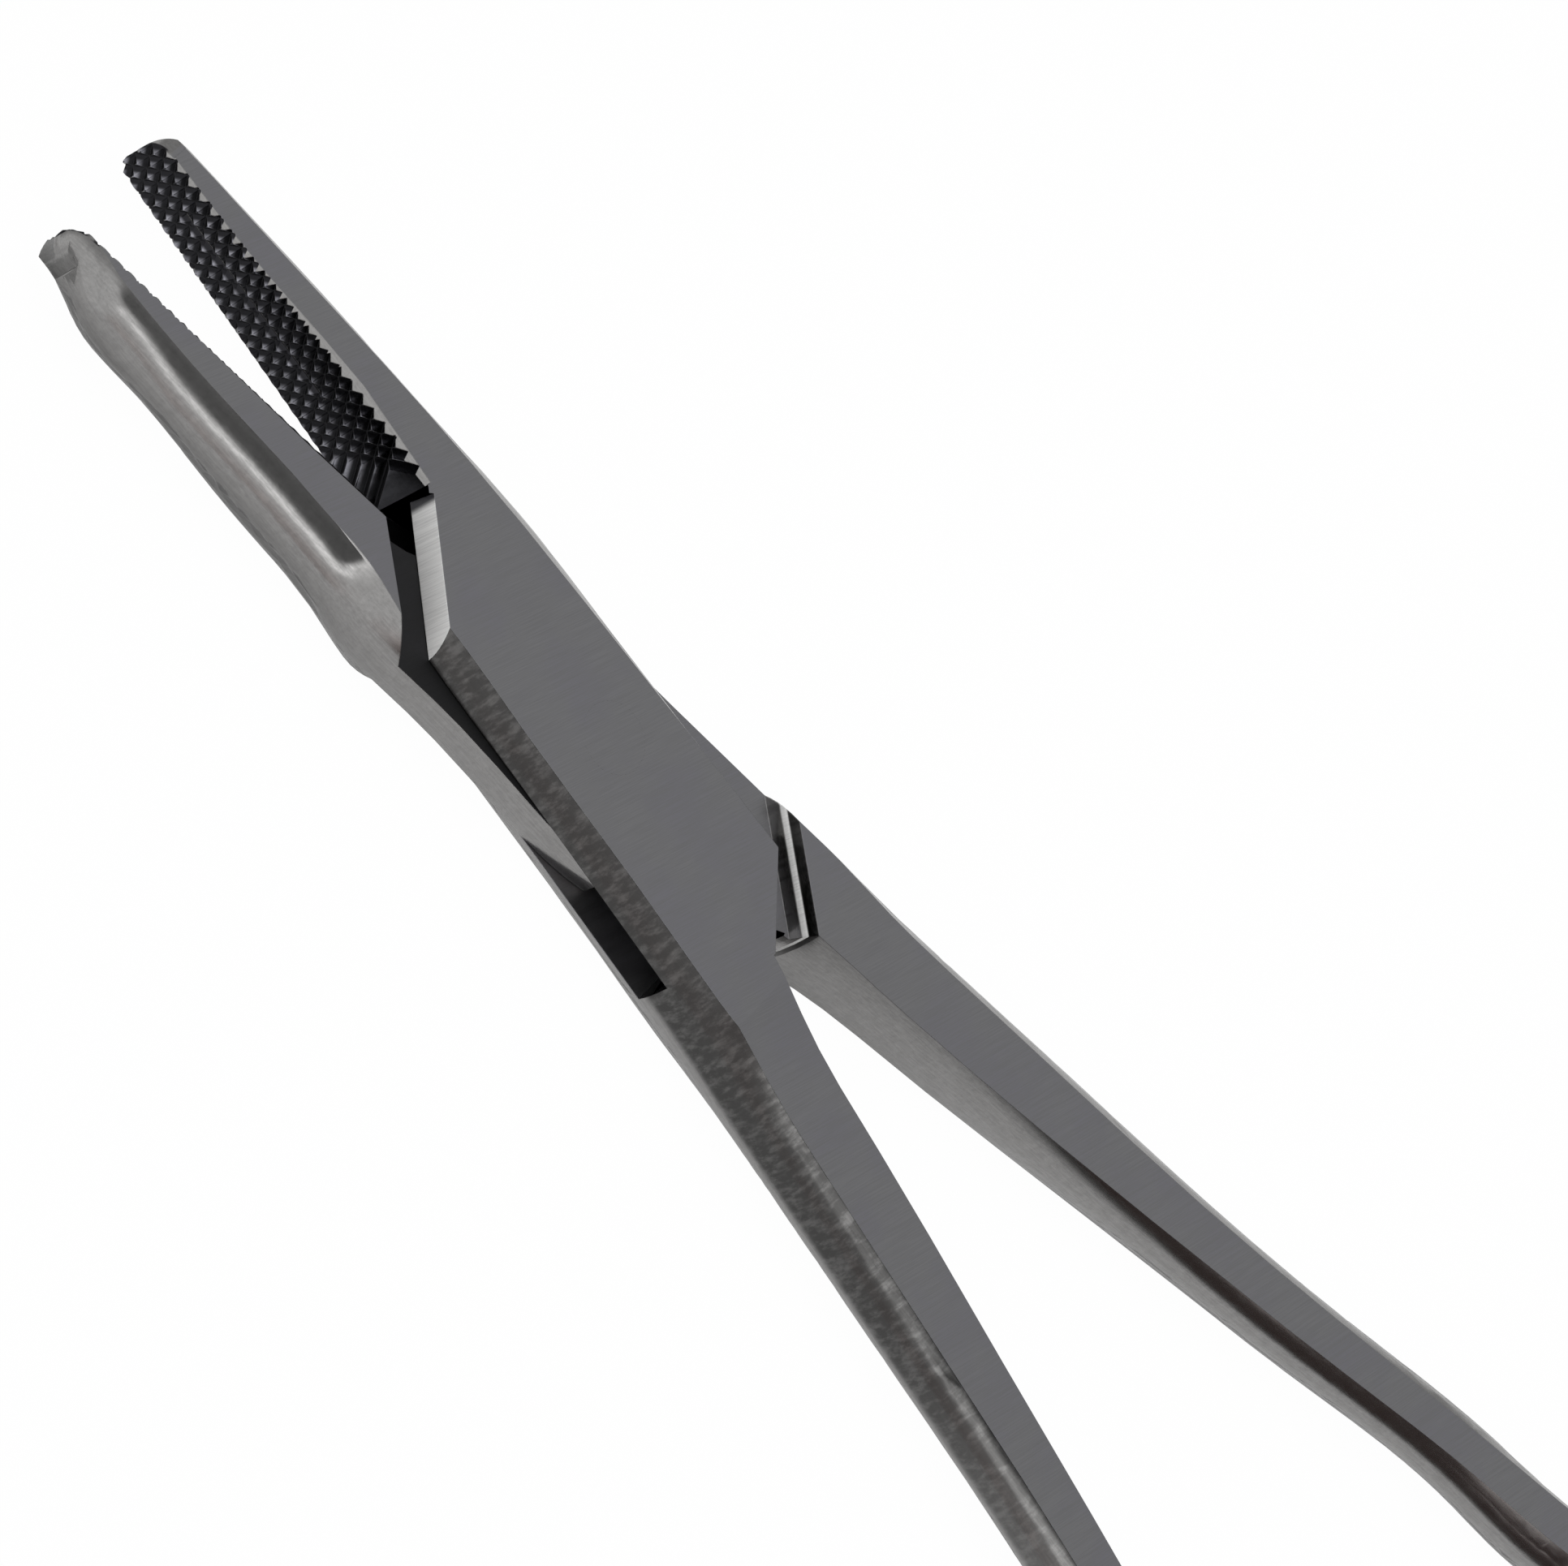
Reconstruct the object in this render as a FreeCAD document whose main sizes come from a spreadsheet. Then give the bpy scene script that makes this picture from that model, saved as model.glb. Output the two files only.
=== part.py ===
import FreeCAD, Part
import math
import os

import Sketcher

# Surgical needle holder with a box lock, 160 mm class, shown part open.
# Frame: the pivot is the Z axis, the underside of the box is z = 0, +X runs to the jaw tips.
# Each half is shaped as it lies when the instrument is shut, then turned half of the
# opening about the pivot. The box half has its jaw at -Y, the tongue half has it at +Y.

SIZES = [
    # pose
    ("opening", 10.0, "angle between the halves as shown, degrees"),
    # box lock
    ("box_thickness", 5.1, "over the ground flats of the box"),
    ("plate", 1.48, "each plate of the box beside the tongue"),
    ("lock_play", 0.03, "between the tongue and each plate"),
    ("box_half_width", 3.75, "pivot to the edge of the flat"),
    ("pin_radius", 1.7, "riveted pivot pin"),
    ("pin_play", 0.03, "between the pin and the tongue"),
    ("slot_reach", 10.1, "pivot to the end wall of the slot"),
    # faces that end the box and the tongue half's thick parts
    ("notch_x", 13.5, "front face of the box, where it meets the jaw"),
    ("notch_angle", 52.0, "direction that this face looks, from +X"),
    ("notch_run", 0.25, "lean of this face over one plate"),
    ("rear_x", 12.25, "rear face of the box, where it meets the shank"),
    ("rear_angle", 41.0, "direction of that face, from -X"),
    ("root_x", 14.8, "jaw root of the tongue half, on the centre line"),
    ("root_run", 0.5, "lean of the jaw root over one plate"),
    ("shoulder_x", 13.75, "shoulder of the tongue half, on the centre line"),
    ("shoulder_run", 0.5, "width of the two shoulder facets together"),
    # jaws
    ("jaw_reach", 33.0, "pivot to the tips"),
    ("root_width", 2.62, "flat of one jaw beside the box"),
    ("tip_width", 0.8, "flat of one jaw at the tip"),
    ("tip_thickness", 3.3, "jaw over the flats at the tip"),
    ("grip_gap", 0.08, "each gripping face to the centre line"),
    ("tip_radius", 1.35, "rounding of the shut tips in plan"),
    ("tip_nose", 1.15, "rounding of the tip seen from the side"),
    # gripping teeth
    ("tooth_pitch", 0.78, "spacing of the grooves along the jaw"),
    ("tooth_depth", 0.27, "depth of the crossed grooves"),
    ("tooth_slant", 30.0, "lean of the grooves, degrees from upright"),
    ("tooth_rows", 25.0, "grooves in each of the two directions"),
    ("relief_depth", 0.34, "depth of the long groove down the middle"),
    ("edge_break", 0.22, "bevel between teeth and flats"),
    # shanks
    ("shank_root", 3.95, "width of the flat behind the box"),
    ("shank_end", 1.6, "width of the flat at the finger ring"),
    ("shank_reach", 98.0, "pivot to the end of the shank inside the ring"),
    ("shank_spread", 15.0, "centre line to the shank at the ring"),
    ("shank_thickness", 2.95, "shank over the flats in its slim part"),
    # ratchet
    ("ratchet_x", 80.0, "pivot to the middle of the ratchet bars"),
    ("ratchet_width", 6.0, "each bar, measured along the shanks"),
    ("ratchet_thick", 1.8, "each bar with its teeth"),
    ("ratchet_tooth", 0.5, "height of the ratchet teeth"),
    ("ratchet_pitch", 1.5, "spacing of the ratchet teeth"),
    ("ratchet_past", 3.4, "overlap of a bar past the centre line"),
    ("ratchet_play", 0.08, "from the middle plane to each row of teeth"),
    # finger rings
    ("ring_x", 110.6, "pivot to the middle of the rings"),
    ("ring_y", 19.4, "centre line to the middle of a ring"),
    ("ring_long", 14.1, "half length of the ring's middle line"),
    ("ring_wide", 11.9, "half width of the ring's middle line"),
    ("ring_end", 10.5, "radius of that line round each end of the oval"),
    ("ring_bar", 1.9, "radius of the bar that the ring is bent from"),
]

doc = FreeCAD.newDocument("needle_holder")
sheet = doc.addObject("Spreadsheet::Sheet", "sizes")
for row, (alias, number, note) in enumerate(SIZES, start=1):
    sheet.set(f"A{row}", note)
    sheet.set(f"B{row}", str(number))
    sheet.setAlias(f"B{row}", alias)
doc.recompute()


class Size:
    """A number together with the text that works it out from the sheet."""

    def __init__(self, value, text=None):
        self.value = value
        self.text = text if text is not None else f"{value:.6g}"

    def __add__(self, other):
        other = as_size(other)
        return Size(self.value + other.value, f"({self.text} + {other.text})")

    def __sub__(self, other):
        other = as_size(other)
        return Size(self.value - other.value, f"({self.text} - {other.text})")

    def __mul__(self, other):
        other = as_size(other)
        return Size(self.value * other.value, f"({self.text} * {other.text})")

    def __truediv__(self, other):
        other = as_size(other)
        return Size(self.value / other.value, f"({self.text} / {other.text})")

    def __rsub__(self, other):
        return as_size(other) - self

    def __neg__(self):
        return self * -1


def as_size(number):
    return number if isinstance(number, Size) else Size(number)


def size(alias):
    return Size(float(sheet.get(alias)), f"sizes.{alias}")


def sine(angle):
    return Size(math.sin(math.radians(angle.value)), f"sin({angle.text})")


def cosine(angle):
    return Size(math.cos(math.radians(angle.value)), f"cos({angle.text})")


def arctan(ratio):
    return Size(math.degrees(math.atan(ratio.value)), f"atan({ratio.text})")


def mix(first, last, part):
    return first + (last - first) * part


def bind(obj, name, amount):
    obj.setExpression(name, as_size(amount).text)


box_t = size("box_thickness")
plate = size("plate")
middle = box_t / 2
notch_x = size("notch_x")
OVER = 0.1  # forging allowance on each flat of the box, ground off below

PLAN = FreeCAD.Rotation()
ACROSS = FreeCAD.Rotation(FreeCAD.Vector(1, 1, 1), 120)  # sketch x, y become Y, Z
ALONG = FreeCAD.Rotation(FreeCAD.Vector(1, 0, 0), 90)  # sketch x, y become X, Z


def place(sketch, turn, where):
    sketch.Placement = FreeCAD.Placement(
        FreeCAD.Vector(*[as_size(w).value for w in where]), turn
    )
    for axis, amount in zip("xyz", where):
        if isinstance(amount, Size):
            bind(sketch, f"Placement.Base.{axis}", amount)


def pin_point(sketch, geometry, end, x, y, name):
    """Hold one end of an edge at x, y of the sketch."""
    for axis, amount in (("X", as_size(x)), ("Y", as_size(y))):
        n = sketch.addConstraint(
            Sketcher.Constraint(f"Distance{axis}", -1, 1, geometry, end, amount.value)
        )
        sketch.renameConstraint(n, f"{name}{axis}")
        bind(sketch, f"Constraints.{name}{axis}", amount)


def fill(sketch, points):
    """A closed polygon, each corner held by the sheet."""
    at = [FreeCAD.Vector(as_size(x).value, as_size(y).value, 0) for x, y in points]
    last = len(points) - 1
    for n in range(len(points)):
        sketch.addGeometry(Part.LineSegment(at[n], at[n + 1 if n < last else 0]))
    for n in range(len(points)):
        after = n + 1 if n < last else 0
        sketch.addConstraint(Sketcher.Constraint("Coincident", n, 2, after, 1))
        pin_point(sketch, n, 1, points[n][0], points[n][1], f"corner{n}")


def outline(name, points, turn=PLAN, where=(0, 0, 0)):
    sketch = doc.addObject("Sketcher::SketchObject", name)
    place(sketch, turn, where)
    fill(sketch, points)
    return sketch


def lens(name, x, near, far, thick, near_round, far_round):
    """Section across an arm: two ground flats and two bulged sides.

    near and far are the edges of the flats, near_round and far_round the bulge of
    each side as a share of the thickness, 0 for an upright side."""
    sketch = doc.addObject("Sketcher::SketchObject", name)
    place(sketch, ACROSS, (x, 0, 0))
    low, high = middle - thick / 2, middle + thick / 2
    a, b, t = near.value, far.value, thick.value
    z0, z1, zc = low.value, high.value, middle.value
    vector = FreeCAD.Vector

    def side(y, bulge, facing):
        if not bulge:
            ends = (z0, z1) if facing > 0 else (z1, z0)
            return Part.LineSegment(vector(y, ends[0], 0), vector(y, ends[1], 0))
        radius = t * (bulge**2 + 0.25) / (2 * bulge)
        centre = vector(y + facing * (bulge * t - radius), zc, 0)
        half = math.asin(t / 2 / radius)
        start = -half if facing > 0 else math.pi - half
        circle = Part.Circle(centre, vector(0, 0, 1), radius)
        return Part.ArcOfCircle(circle, start, start + 2 * half)

    sketch.addGeometry(Part.LineSegment(vector(a, z1, 0), vector(b, z1, 0)))
    sketch.addGeometry(side(b, far_round, 1))
    sketch.addGeometry(Part.LineSegment(vector(b, z0, 0), vector(a, z0, 0)))
    sketch.addGeometry(side(a, near_round, -1))
    for first, end, second, start in ((0, 2, 1, 2), (1, 1, 2, 1), (2, 2, 3, 2), (3, 1, 0, 1)):
        sketch.addConstraint(Sketcher.Constraint("Coincident", first, end, second, start))
    pin_point(sketch, 0, 1, near, high, "near_top")
    pin_point(sketch, 0, 2, far, high, "far_top")
    pin_point(sketch, 2, 1, far, low, "far_low")
    pin_point(sketch, 2, 2, near, low, "near_low")
    for geometry, bulge, label in ((1, far_round, "far"), (3, near_round, "near")):
        if bulge:
            factor = (bulge**2 + 0.25) / (2 * bulge)
            n = sketch.addConstraint(Sketcher.Constraint("Radius", geometry, t * factor))
            sketch.renameConstraint(n, f"{label}_radius")
            bind(sketch, f"Constraints.{label}_radius", thick * factor)
    return sketch


def loft(name, sections):
    obj = doc.addObject("Part::Loft", name)
    obj.Sections = sections
    obj.Solid = True
    obj.Ruled = False
    return obj


def prism(name, sketch, length, both=False, back=False):
    obj = doc.addObject("Part::Extrusion", name)
    obj.Base = sketch
    obj.DirMode = "Normal"
    obj.Solid = True
    obj.Symmetric = both
    obj.Reversed = back
    bind(obj, "LengthFwd", length)
    return obj


def block(name, where, lengths):
    obj = doc.addObject("Part::Box", name)
    place(obj, PLAN, where)
    for prop, amount in zip(("Length", "Width", "Height"), lengths):
        bind(obj, prop, amount)
    return obj


def cut(name, base, tool):
    obj = doc.addObject("Part::Cut", name)
    obj.Base, obj.Tool = base, tool
    return obj


def fuse(name, *shapes):
    obj = doc.addObject("Part::MultiFuse", name)
    obj.Shapes = list(shapes)
    return obj


def mirrored(name, source, normal, base=(0, 0, 0)):
    obj = doc.addObject("Part::Mirroring", name)
    obj.Source = source
    obj.Normal = FreeCAD.Vector(*normal)
    for axis, amount in zip("xyz", base):
        if isinstance(amount, Size):
            bind(obj, f"Base.{axis}", amount)
    return obj


# Outer side of a jaw, from the tip to its root: place along the jaw, width of the flat,
# thickness (0 at the tip, 1 at the root) and bulge of the side.
JAW = [
    (1.02, 0.0, 0.0, 0.17),
    (0.85, 0.29, 0.16, 0.23),
    (0.62, 0.505, 0.39, 0.25),
    (0.4, 0.67, 0.75, 0.23),
    (0.18, 0.845, 0.98, 0.22),
    (0.0, 1.0, 1.0, 0.27),
]
# The same side along the box: place as a share of notch_x, width (0 as at the jaw root,
# 1 as the box) and bulge. The box half runs on smoothly, the tongue half flares.
SMOOTH = [
    (0.74, 0.2, 0.31),
    (0.22, 0.53, 0.26),
    (-0.22, 0.78, 0.22),
    (-0.67, 0.97, 0.19),
    (-0.905, 1.04, 0.19),
]
FLARED = [
    (0.9, 0.38, 0.25),
    (0.77, 0.84, 0.19),
    (0.6, 0.88, 0.17),
    (0.22, 0.97, 0.18),
    (-0.22, 1.03, 0.2),
    (-0.67, 1.18, 0.2),
    (-0.905, 1.27, 0.2),
]
# Outer side of a shank along the box: place as a share of notch_x, width of the flat as
# a share of the box and bulge.
SIDE = [
    (1.0, 0.945, 0.2),
    (0.65, 0.955, 0.2),
    (0.22, 0.99, 0.2),
    (-0.22, 1.01, 0.2),
    (-0.67, 1.053, 0.2),
]
# Shank, from the box to the ring: place, spread from the centre line, width of the flat,
# extra thickness (1 at the box), bulge outside and inside.
SHANK = [
    (0.0, 0.0, 1.0, 1.0, 0.2, 0.03),
    (0.047, 0.037, 0.825, 0.58, 0.26, 0.04),
    (0.114, 0.076, 0.74, 0.34, 0.3, 0.06),
    (0.196, 0.126, 0.596, 0.19, 0.33, 0.1),
    (0.301, 0.197, 0.36, 0.07, 0.34, 0.16),
    (0.417, 0.294, 0.234, 0.0, 0.35, 0.2),
    (0.534, 0.397, 0.17, 0.0, 0.36, 0.25),
    (0.65, 0.513, 0.128, 0.0, 0.38, 0.3),
    (0.767, 0.652, 0.128, 0.0, 0.4, 0.32),
    (0.883, 0.814, 0.106, 0.0, 0.4, 0.34),
    (1.0, 1.0, 0.0, 0.0, 0.4, 0.36),
]

full_t = box_t + 2 * OVER
jaw_reach = size("jaw_reach")
root_w, tip_w, box_w = size("root_width"), size("tip_width"), size("box_half_width")

jaw_sections = []
for n, (along, wide, thick, bulge) in enumerate(JAW):
    jaw_sections.append(
        lens(
            f"jaw_section_{n}",
            mix(notch_x, jaw_reach, along),
            Size(-1.0),
            mix(tip_w, root_w, wide),
            mix(size("tip_thickness"), full_t, thick),
            0,
            bulge,
        )
    )


def box_sections(name, table):
    return [
        lens(f"{name}_{n}", notch_x * along, Size(-1.0), mix(root_w, box_w, wide), full_t, 0, bulge)
        for n, (along, wide, bulge) in enumerate(table)
    ]


jaw_smooth = loft("jaw_smooth", jaw_sections + box_sections("smooth_section", SMOOTH))
jaw_flared = loft("jaw_flared", jaw_sections + box_sections("flared_section", FLARED))

side_sections = [
    lens(f"side_section_{n}", notch_x * along, Size(-0.5), box_w * wide, full_t, 0.03, bulge)
    for n, (along, wide, bulge) in enumerate(SIDE)
]
rear_x = size("rear_x")
shank_start = rear_x - 0.05
shank_centre = size("shank_root") * 0.525
for n, (along, spread, wide, thick, outer, inner) in enumerate(SHANK):
    centre = mix(shank_centre, size("shank_spread"), spread)
    half = mix(size("shank_end"), size("shank_root"), wide) / 2
    side_sections.append(
        lens(
            f"shank_section_{n}",
            -mix(shank_start, size("shank_reach"), along),
            centre - half,
            centre + half,
            mix(size("shank_thickness"), full_t, thick),
            inner,
            outer,
        )
    )
# The slim end runs straight from section to section, with far fewer facets than a smooth loft.
shank_far = loft("shank_far", side_sections[-4:])
shank_far.Ruled = True
shank = fuse("shank", loft("shank_near", side_sections[:-3]), shank_far)

# Finger ring: a bar bent along four arcs, two round the ends and two along the sides. The
# bar has many narrow facets in place of a round section, which keeps its mesh light.
ring_x, ring_y = size("ring_x"), size("ring_y")
long_r, wide_r, end_r = size("ring_long"), size("ring_wide"), size("ring_end")
end_shift = long_r - end_r
side_shift = (end_shift * end_shift / (wide_r - end_r) + end_r - wide_r) / 2


def bent_bar(name, plane, bar_at, centre, turn):
    bar = doc.addObject("Part::RegularPolygon", f"{name}_bar")
    bar.Polygon = 12
    place(bar, plane, (*bar_at, middle))
    bind(bar, "Circumradius", size("ring_bar"))
    arc = doc.addObject("Part::Revolution", name)
    arc.Source = bar
    arc.Axis = FreeCAD.Vector(0, 0, 1)
    arc.Solid = True
    arc.Symmetric = True
    for axis, amount in zip("xy", centre):
        bind(arc, f"Base.{axis}", amount)
    bind(arc, "Angle", turn)
    return arc


arcs = []
for label, way in (("near", 1), ("far", -1)):
    arcs.append(
        bent_bar(
            f"ring_end_{label}",
            ALONG,
            (long_r * way - ring_x, ring_y),
            (end_shift * way - ring_x, ring_y),
            arctan(side_shift / end_shift) * 2,
        )
    )
    arcs.append(
        bent_bar(
            f"ring_side_{label}",
            ACROSS,
            (-ring_x, ring_y + wide_r * way),
            (-ring_x, ring_y - side_shift * way),
            arctan(end_shift / side_shift) * 2,
        )
    )
ring = fuse("finger_ring", *arcs)

# Ratchet bar of the box half: it reaches past the centre line with its teeth below.
past, pitch, tall = size("ratchet_past"), size("ratchet_pitch"), size("ratchet_tooth")
row_z = middle + size("ratchet_play")
top_z = row_z + size("ratchet_thick")
saw = []
for n in range(3):
    start = pitch * n - past
    saw += [(start, row_z + tall), (start + 0.25, row_z), (start + 0.5, row_z)]
bar_root = size("shank_spread") * 0.72
ratchet_profile = outline(
    "ratchet_profile",
    saw
    + [(pitch * 3 - past, row_z + tall), (bar_root, row_z + tall * 0.4), (bar_root, top_z)]
    + [(0.6 - past, top_z), (-past, top_z - 0.6)],
    ACROSS,
    (-size("ratchet_x") - size("ratchet_width") / 2, 0, 0),
)
ratchet_bar = prism("ratchet_bar", ratchet_profile, size("ratchet_width"))

over_plane = block("over_plane", (-130, -40, box_t), (Size(170), Size(80), Size(3)))
under_plane = block("under_plane", (-130, -40, -3), (Size(170), Size(80), Size(3)))
planes = fuse("grinding_planes", over_plane, under_plane)


def ground(name, *blanks):
    return cut(name, fuse(f"{name}_blank", *blanks), planes)


jaw_right = mirrored("jaw_right", jaw_smooth, (0, 1, 0))
box_blank = fuse("box_blank", ground("box_ground", jaw_right, shank), ring, ratchet_bar)

gap = size("grip_gap")
notch = size("notch_angle")
run = size("notch_run")
DEEP = Size(12.0)
notch_front = notch_x + run / cosine(notch)
mouth = prism(
    "mouth",
    outline(
        "mouth_outline",
        [
            (notch_front, -gap),
            (jaw_reach + 4, -gap),
            (jaw_reach + 4, 12),
            (notch_front - DEEP * sine(notch), DEEP * cosine(notch) - gap),
        ],
        PLAN,
        (0, 0, -1),
    ),
    box_t + 2,
)


def wedge(name, points, base_x, base_y, angle, length, both=False):
    """Prism whose profile stands upright across the direction given by angle."""
    sketch = outline(f"{name}_profile", points, ALONG)
    obj = prism(name, sketch, length, both=both, back=not both)
    place(obj, PLAN, (base_x, base_y, 0))
    obj.Placement.Rotation = FreeCAD.Rotation(FreeCAD.Vector(0, 0, 1), angle.value)
    bind(obj, "Placement.Rotation.Angle", angle)
    return obj


# The front face of each plate leans forward towards the tongue.
notch_bevel = wedge(
    "notch_bevel",
    [(0, box_t), (run, box_t - plate), (run * 3, box_t - plate), (run * 3, box_t + 1), (0, box_t + 1)],
    notch_x,
    -gap,
    notch,
    DEEP,
)
notch_bevel_low = mirrored("notch_bevel_low", notch_bevel, (0, 0, 1), (0, 0, middle))

rear = size("rear_angle")
heel = prism(
    "heel",
    outline(
        "heel_outline",
        [
            (-rear_x, 0),
            (-rear_x + DEEP * sine(rear), -DEEP * cosine(rear)),
            (-rear_x - 6, -DEEP * cosine(rear)),
            (-rear_x - 6, 0),
        ],
        PLAN,
        (0, 0, -1),
    ),
    box_t + 2,
)

slot_x = size("slot_reach")
slot = prism(
    "slot",
    outline(
        "slot_outline",
        [
            (-slot_x, 8),
            (-slot_x, 1.9),
            (-slot_x - 2.7, 0.35),
            (-slot_x - 3.9, -1.0),
            (-slot_x + 1.1, -8),
            (slot_x, -8),
            (slot_x, -1.9),
            (slot_x + 2.7, -0.35),
            (slot_x + 4.4, 0.35),
            (slot_x, 8),
        ],
        PLAN,
        (0, 0, plate),
    ),
    box_t - plate * 2,
)


def cylinder(name, radius, height, where=(0, 0, 0)):
    obj = doc.addObject("Part::Cylinder", name)
    place(obj, PLAN, where)
    bind(obj, "Radius", radius)
    bind(obj, "Height", height)
    return obj


pin_r = size("pin_radius")
box_bore = cylinder("box_bore", pin_r, box_t)
box_tools = fuse("box_tools", mouth, notch_bevel, notch_bevel_low, heel)
box_cut = cut("box_cut", cut("box_slotted", cut("box_faced", box_blank, box_tools), slot), box_bore)

shank_right = mirrored("shank_right", shank, (0, 1, 0))
ring_right = mirrored("ring_right", ring, (0, 1, 0))
ratchet_flip = mirrored("ratchet_flip", ratchet_bar, (0, 1, 0))
ratchet_low = mirrored("ratchet_low", ratchet_flip, (0, 0, 1), (0, 0, middle))
tongue_blank = fuse(
    "tongue_blank", ground("tongue_ground", jaw_flared, shank_right), ring_right, ratchet_low
)

# Everything on the far side of its gripping face and of the tongue's two long edges.
front_side = prism(
    "front_side",
    outline(
        "front_side_outline",
        [
            (jaw_reach + 4, gap),
            (notch_x + 0.1, gap),
            (notch_x * 0.911, -0.25),
            (notch_x * 0.333, -box_w * 1.04),
            (notch_x * 0.15, -8),
            (jaw_reach + 4, -8),
        ],
        PLAN,
        (0, 0, -1),
    ),
    box_t + 2,
)
rear_side = prism(
    "rear_side",
    outline(
        "rear_side_outline",
        [
            (-notch_x * 0.15, 8),
            (-notch_x * 0.333, box_w * 1.04),
            (-rear_x - 0.35, -0.2),
            (-rear_x - 0.35, 8),
        ],
        PLAN,
        (0, 0, -1),
    ),
    box_t + 2,
)

# The flats are milled down to the tongue between the jaw root and the shoulder.
play = size("lock_play")
tongue_top = box_t - plate - play
root_x, root_run = size("root_x"), size("root_run")
shoulder_x, facets = size("shoulder_x"), size("shoulder_run")
HALF = math.sqrt(0.5)
root_at, shoulder_at = root_x * HALF, shoulder_x * HALF
milled = wedge(
    "milled",
    [
        (root_at, box_t + 1),
        (root_at, box_t),
        (root_at - root_run, tongue_top),
        (facets - shoulder_at, tongue_top),
        (facets * 0.5 - shoulder_at, tongue_top + plate * 0.6),
        (-shoulder_at, box_t),
        (-shoulder_at, box_t + 1),
    ],
    0,
    0,
    Size(45.0),
    Size(24.0),
    both=True,
)
milled_low = mirrored("milled_low", milled, (0, 0, 1), (0, 0, middle))
tongue_bore = cylinder("tongue_bore", pin_r + size("pin_play"), box_t + 2, (0, 0, -1))
tongue_tools = fuse("tongue_tools", front_side, rear_side)
tongue_faced = cut("tongue_faced", tongue_blank, tongue_tools)
tongue_milled = cut("tongue_milled", tongue_faced, fuse("mills", milled, milled_low))
tongue_cut = cut("tongue_cut", tongue_milled, tongue_bore)

slant, pitch_x = size("tooth_slant"), size("tooth_pitch")
depth, rows = size("tooth_depth"), size("tooth_rows")
flat = pitch_x * 0.45


def comb(name, lean, first):
    """All grooves of one direction, as ridges on a backing clear of the gripping face."""
    body = doc.addObject("PartDesign::Body", name)
    role = {obj.Role: obj for obj in body.Origin.OriginFeatures}
    shapes = {
        "backing": [(0, 0.05), (0, 0.3), (pitch_x * (rows - 1), 0.3), (pitch_x * (rows - 1), 0.05)],
        "ridge": [(-flat * 1.2, depth * 0.2), (0, -depth), (flat * 1.2, depth * 0.2)],
    }
    pads = []
    for label, points in shapes.items():
        sketch = body.newObject("Sketcher::SketchObject", f"{name}_{label}_outline")
        sketch.AttachmentSupport = (role["XY_Plane"], [""])
        sketch.MapMode = "FlatFace"
        fill(sketch, points)
        pad = body.newObject("PartDesign::Pad", f"{name}_{label}")
        pad.Profile = sketch
        pad.UseCustomVector = True
        pad.Direction = FreeCAD.Vector(sine(slant).value * lean, 0, cosine(slant).value)
        bind(pad, "Direction.x", sine(slant) * lean)
        bind(pad, "Direction.z", cosine(slant))
        pad.AlongSketchNormal = True
        bind(pad, "Length", box_t)
        pads.append(pad)
    pattern = body.newObject("PartDesign::LinearPattern", f"{name}_rows")
    pattern.Originals = [pads[1]]
    pattern.Direction = (role["X_Axis"], [""])
    bind(pattern, "Length", pitch_x * (rows - 1))
    bind(pattern, "Occurrences", rows)
    body.Tip = pattern
    middle_shift = sine(slant) / cosine(slant) * middle * lean
    place(body, PLAN, (notch_x + first - middle_shift, -gap, 0))
    return body


rise = comb("rising_grooves", 1, Size(1.6))
fall = comb("falling_grooves", -1, Size(2.8))

# Long groove down the middle of the gripping face.
relief = size("relief_depth")
relief_cut = prism(
    "relief",
    outline(
        "relief_outline",
        [(-gap - relief, middle), (0.2 - gap, middle + relief + 0.2), (0.2 - gap, middle - relief - 0.2)],
        ACROSS,
        (mix(notch_x, jaw_reach, 0.3), 0, 0),
    ),
    (jaw_reach - notch_x) * 0.52,
)

# Bevel between the teeth and the flats.
brink = size("edge_break")
brink_sections = []
for n, (x, half) in enumerate(
    ((notch_front + 0.05, box_t / 2), (jaw_reach + 0.5, size("tip_thickness") / 2))
):
    edge = middle + half
    brink_sections.append(
        outline(
            f"brink_section_{n}",
            [(-gap - brink - 0.5, edge + 0.5), (0.5 - gap, edge + 0.5), (0.5 - gap, edge - brink - 0.5)],
            ACROSS,
            (x, 0, 0),
        )
    )
brink_top = loft("brink_top", brink_sections)
brink_top.Ruled = True
brink_low = mirrored("brink_low", brink_top, (0, 0, 1), (0, 0, middle))

# Rounded end of the jaws, in plan and from the side.
round_r, nose = size("tip_radius"), size("tip_nose")
end_half = size("tip_thickness") * 0.515
plan_end = cut(
    "plan_end",
    block("plan_end_block", (jaw_reach - round_r, -5, -1), (Size(6), Size(10), box_t + 2)),
    cylinder("plan_end_round", round_r, box_t + 4, (jaw_reach - round_r, 0, -2)),
)
nose_tools = [
    block(
        "nose_core",
        (jaw_reach - nose - 1, -6, middle - end_half + nose),
        (nose + 1, Size(12), (end_half - nose) * 2),
    )
]
for label, z in (("low", middle - end_half + nose), ("high", middle + end_half - nose)):
    round_end = doc.addObject("Part::Cylinder", f"nose_{label}")
    place(round_end, ALONG, (jaw_reach - nose, Size(6.0), z))
    bind(round_end, "Radius", nose)
    bind(round_end, "Height", Size(12.0))
    nose_tools.append(round_end)
nose_cut = cut(
    "nose_cut",
    block("nose_block", (jaw_reach - nose, -5, -1), (Size(6), Size(10), box_t + 2)),
    fuse("nose_keep", *nose_tools),
)
ends = fuse("ends", plan_end, nose_cut)

grip_tools = {"teeth_rise": rise, "teeth_fall": fall, "relief": relief_cut}


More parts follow.
